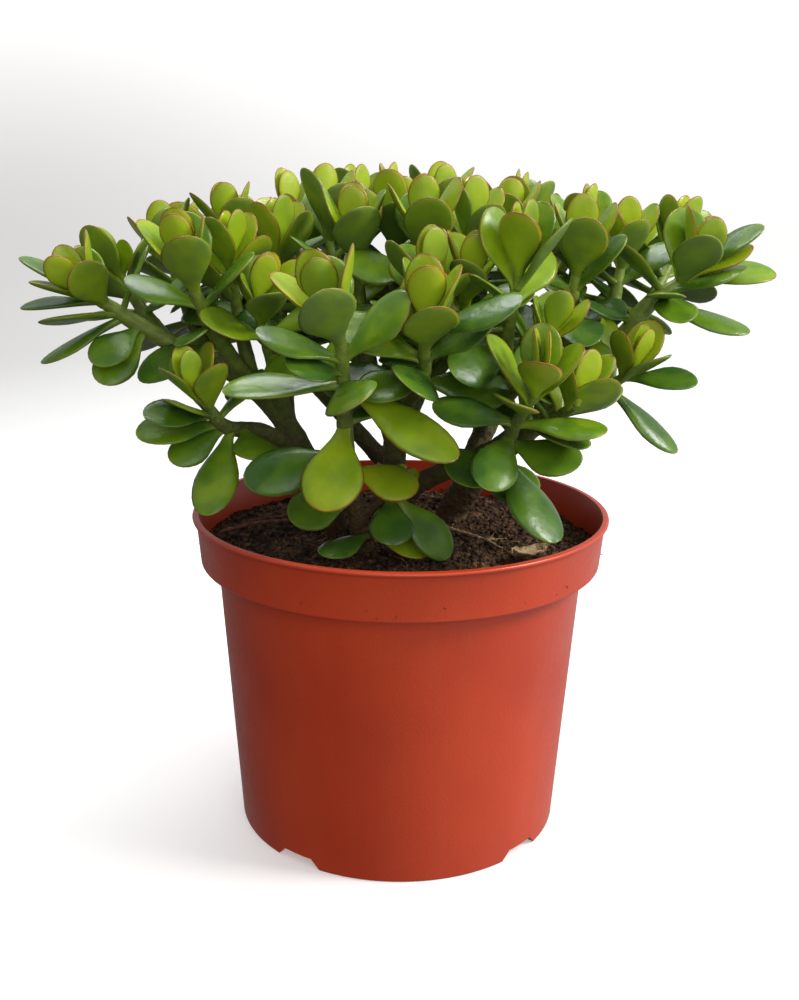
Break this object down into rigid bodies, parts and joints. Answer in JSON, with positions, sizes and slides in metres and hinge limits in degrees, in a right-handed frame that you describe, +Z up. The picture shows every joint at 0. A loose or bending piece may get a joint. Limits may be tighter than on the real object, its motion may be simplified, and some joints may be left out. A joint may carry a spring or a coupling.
{
  "type": "potted jade plant",
  "caption": "Bushy jade plant with fleshy oval leaves in crosswise pairs on woody stems, in a stepped terracotta-coloured plastic nursery pot of soil.",
  "frame": {"origin": "on the pot's axis, in the plane of its foot, which is the surface it stands on", "axes": "+Z up along the pot's axis; the plant's front faces -Y; +X to the right seen from the front"},
  "size_m": [0.3577, 0.2604, 0.3346],
  "materials": {
    "terracotta_plastic": "satin, thin-walled moulded plastic in terracotta orange",
    "peat_soil": "matt, dark fibrous peat soil",
    "jade_bark": "matt, brown-grey bark turning green towards the tips",
    "jade_leaf": "glossy fleshy leaf, yellow-green to dark green with a thin red rim"
  },
  "bodies": {
    "root": {"pot": "terracotta_plastic", "shoot_back_1": "jade_leaf", "shoot_back_10": "jade_leaf", "shoot_back_11": "jade_leaf", "shoot_back_12": "jade_leaf", "shoot_back_2": "jade_leaf", "shoot_back_3": "jade_leaf", "shoot_back_4": "jade_leaf", "shoot_back_5": "jade_leaf", "shoot_back_6": "jade_leaf", "shoot_back_7": "jade_leaf", "shoot_back_8": "jade_leaf", "shoot_back_9": "jade_leaf", "shoot_centre": "jade_leaf", "shoot_centre_right": "jade_leaf", "shoot_centre_up": "jade_leaf", "shoot_far_left": "jade_leaf", "shoot_far_left_back": "jade_leaf", "shoot_far_right": "jade_leaf", "shoot_front": "jade_leaf", "shoot_front_right": "jade_leaf", "shoot_front_right_b": "jade_leaf", "shoot_inner_low": "jade_leaf", "shoot_left_back": "jade_leaf", "shoot_left_front": "jade_leaf", "shoot_left_high": "jade_leaf", "shoot_left_rise": "jade_leaf", "shoot_low_left": "jade_leaf", "shoot_mid_high": "jade_leaf", "shoot_mid_left": "jade_leaf", "shoot_mid_left_back": "jade_leaf", "shoot_outer_low": "jade_leaf", "shoot_right_back": "jade_leaf", "shoot_right_inner": "jade_leaf", "shoot_right_rise": "jade_leaf", "shoot_sprout_low": "jade_leaf", "shoot_sprout_mid": "jade_leaf", "shoot_top_back": "jade_leaf", "shoot_top_left": "jade_leaf", "shoot_top_left_back": "jade_leaf", "shoot_top_mid": "jade_leaf", "shoot_top_right": "jade_leaf", "shoot_upper_right": "jade_leaf", "soil": "peat_soil", "stem_back": "jade_bark", "stem_back_right": "jade_bark", "stem_centre": "jade_bark", "stem_front": "jade_bark", "stem_left": "jade_bark", "stem_right": "jade_bark"}
  },
  "joints": []
}
